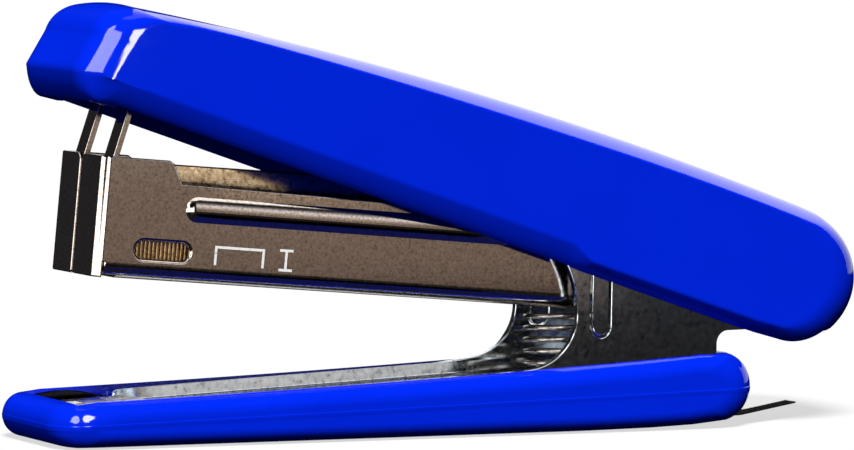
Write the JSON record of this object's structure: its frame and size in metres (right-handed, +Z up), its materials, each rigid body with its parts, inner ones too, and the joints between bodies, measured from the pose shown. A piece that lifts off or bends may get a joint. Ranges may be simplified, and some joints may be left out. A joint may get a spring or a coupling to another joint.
{
  "type": "mini stapler with staple remover",
  "caption": "Small hand stapler with glossy blue handle and base covers, a bright steel magazine and forked driver, and a flat staple remover tongue at the rear of its base.",
  "frame": {"origin": "bottom centre of the bounding box of the resting stapler", "axes": "+X from the front to the pivot end, +Y to the far side, +Z up"},
  "size_m": [0.1054, 0.0204, 0.0498],
  "materials": {
    "blue_cover": "glossy saturated blue moulding",
    "nickel_sheet": "bright nickel-plated pressed sheet",
    "dark_steel": "hardened plate",
    "rivet_steel": "bright turned steel",
    "spring_wire": "drawn spring wire",
    "staple_wire": "golden plated wire"
  },
  "bodies": {
    "base": {"base_cover": "blue_cover", "base_frame": "nickel_sheet", "anvil_plate": "dark_steel", "anvil_rivets": "rivet_steel", "remover_blade": "nickel_sheet", "base_rivets": "rivet_steel", "lift_spring": "spring_wire", "spring_seat": "rivet_steel", "pivot_pin": "rivet_steel", "pivot_washer": "rivet_steel"},
    "magazine": {"magazine_channel": "nickel_sheet", "staple_rail": "nickel_sheet", "rail_rivets": "rivet_steel", "staple_strip": "staple_wire", "pusher_spring": "spring_wire", "pusher_rod": "rivet_steel", "handle_spring": "spring_wire"},
    "pusher": {"pusher": "dark_steel"},
    "handle": {"handle_cover": "blue_cover", "handle_frame": "nickel_sheet", "driver_blade": "nickel_sheet", "driver_rivets": "rivet_steel"}
  },
  "joints": [
    {"name": "magazine_swing", "type": "hinge", "parent": "base", "child": "magazine", "pos_m": [0.0441, 0, 0.0176], "axis": [0, -1, 0], "range_deg": [0, 9.3], "stiffness_Nm_per_rad": 0.3, "springref_deg": -11.46, "deforming": ["lift_spring"]},
    {"name": "handle_press", "type": "hinge", "parent": "magazine", "child": "handle", "pos_m": [0.0441, 0, 0.0176], "axis": [0, -1, 0], "range_deg": [-75, 4], "stiffness_Nm_per_rad": 0.05, "springref_deg": -10.31, "deforming": ["handle_spring"]},
    {"name": "pusher_slide", "type": "slide", "parent": "magazine", "child": "pusher", "axis": [0.9968, 0, -0.0802], "range_m": [0, 0.015], "stiffness_N_per_m": 50, "springref_m": -0.02, "deforming": ["pusher_spring"]}
  ]
}
